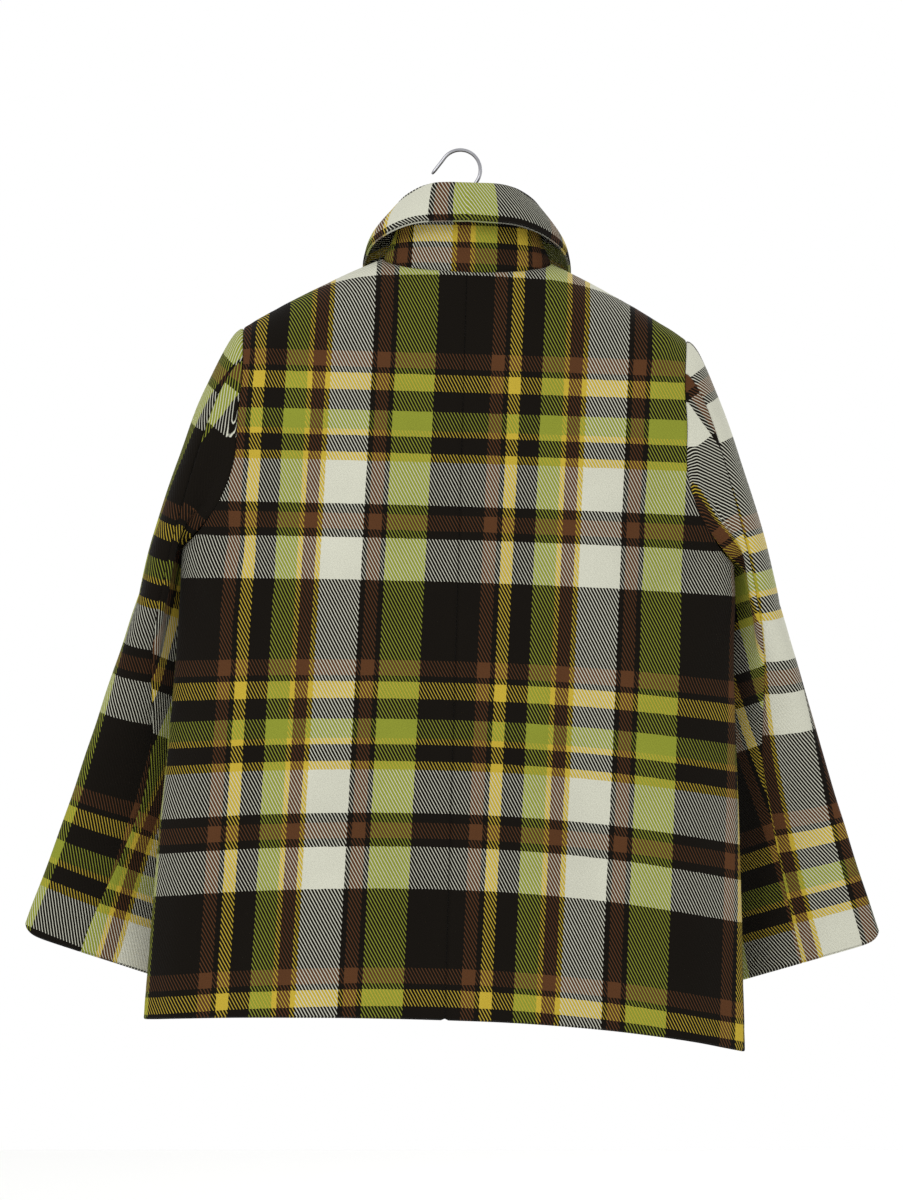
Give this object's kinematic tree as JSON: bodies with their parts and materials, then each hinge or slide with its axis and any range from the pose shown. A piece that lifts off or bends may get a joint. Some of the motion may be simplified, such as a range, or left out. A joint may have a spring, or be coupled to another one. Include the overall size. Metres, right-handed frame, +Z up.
{
  "type": "winter jacket on a hanger",
  "caption": "Boxy plaid wool winter jacket with a tall turned-down collar, flared two-piece sleeves and a buttoned front, hung on a plain hanger with a bent wire hook.",
  "frame": {"origin": "the inner top of the hanger's hook, where a rail or peg carries it", "axes": "+Z up, -Y out of the jacket's back, which the picture shows, +X towards the wearer's right"},
  "size_m": [0.8205, 0.1664, 0.8618],
  "materials": {
    "back_left": "brushed plaid wool, cream, black, brown, green and yellow",
    "back_right": "brushed plaid wool, cream, black, brown, green and yellow",
    "front_left": "brushed plaid wool, cream, black, brown, green and yellow",
    "front_right": "brushed plaid wool, cream, black, brown, green and yellow",
    "sleeve_top_left": "brushed plaid wool, cream, black, brown, green and yellow",
    "sleeve_top_right": "brushed plaid wool, cream, black, brown, green and yellow",
    "sleeve_under_left": "brushed plaid wool, cream, black, brown, green and yellow",
    "sleeve_under_right": "brushed plaid wool, cream, black, brown, green and yellow",
    "collar_stand": "brushed plaid wool, cream, black, brown, green and yellow",
    "collar_fall": "brushed plaid wool, cream, black, brown, green and yellow",
    "button_1": "dark brown, softly polished",
    "button_2": "dark brown, softly polished",
    "button_3": "dark brown, softly polished",
    "button_4": "dark brown, softly polished",
    "button_5": "dark brown, softly polished",
    "hanger_bar": "satin varnish",
    "hanger_hook": "bright bent wire"
  },
  "bodies": {
    "root": {"back_left": "back_left", "back_right": "back_right", "front_left": "front_left", "front_right": "front_right", "sleeve_top_left": "sleeve_top_left", "sleeve_top_right": "sleeve_top_right", "sleeve_under_left": "sleeve_under_left", "sleeve_under_right": "sleeve_under_right", "collar_stand": "collar_stand", "collar_fall": "collar_fall", "button_1": "button_1", "button_2": "button_2", "button_3": "button_3", "button_4": "button_4", "button_5": "button_5", "hanger_bar": "hanger_bar", "hanger_hook": "hanger_hook"}
  },
  "joints": []
}
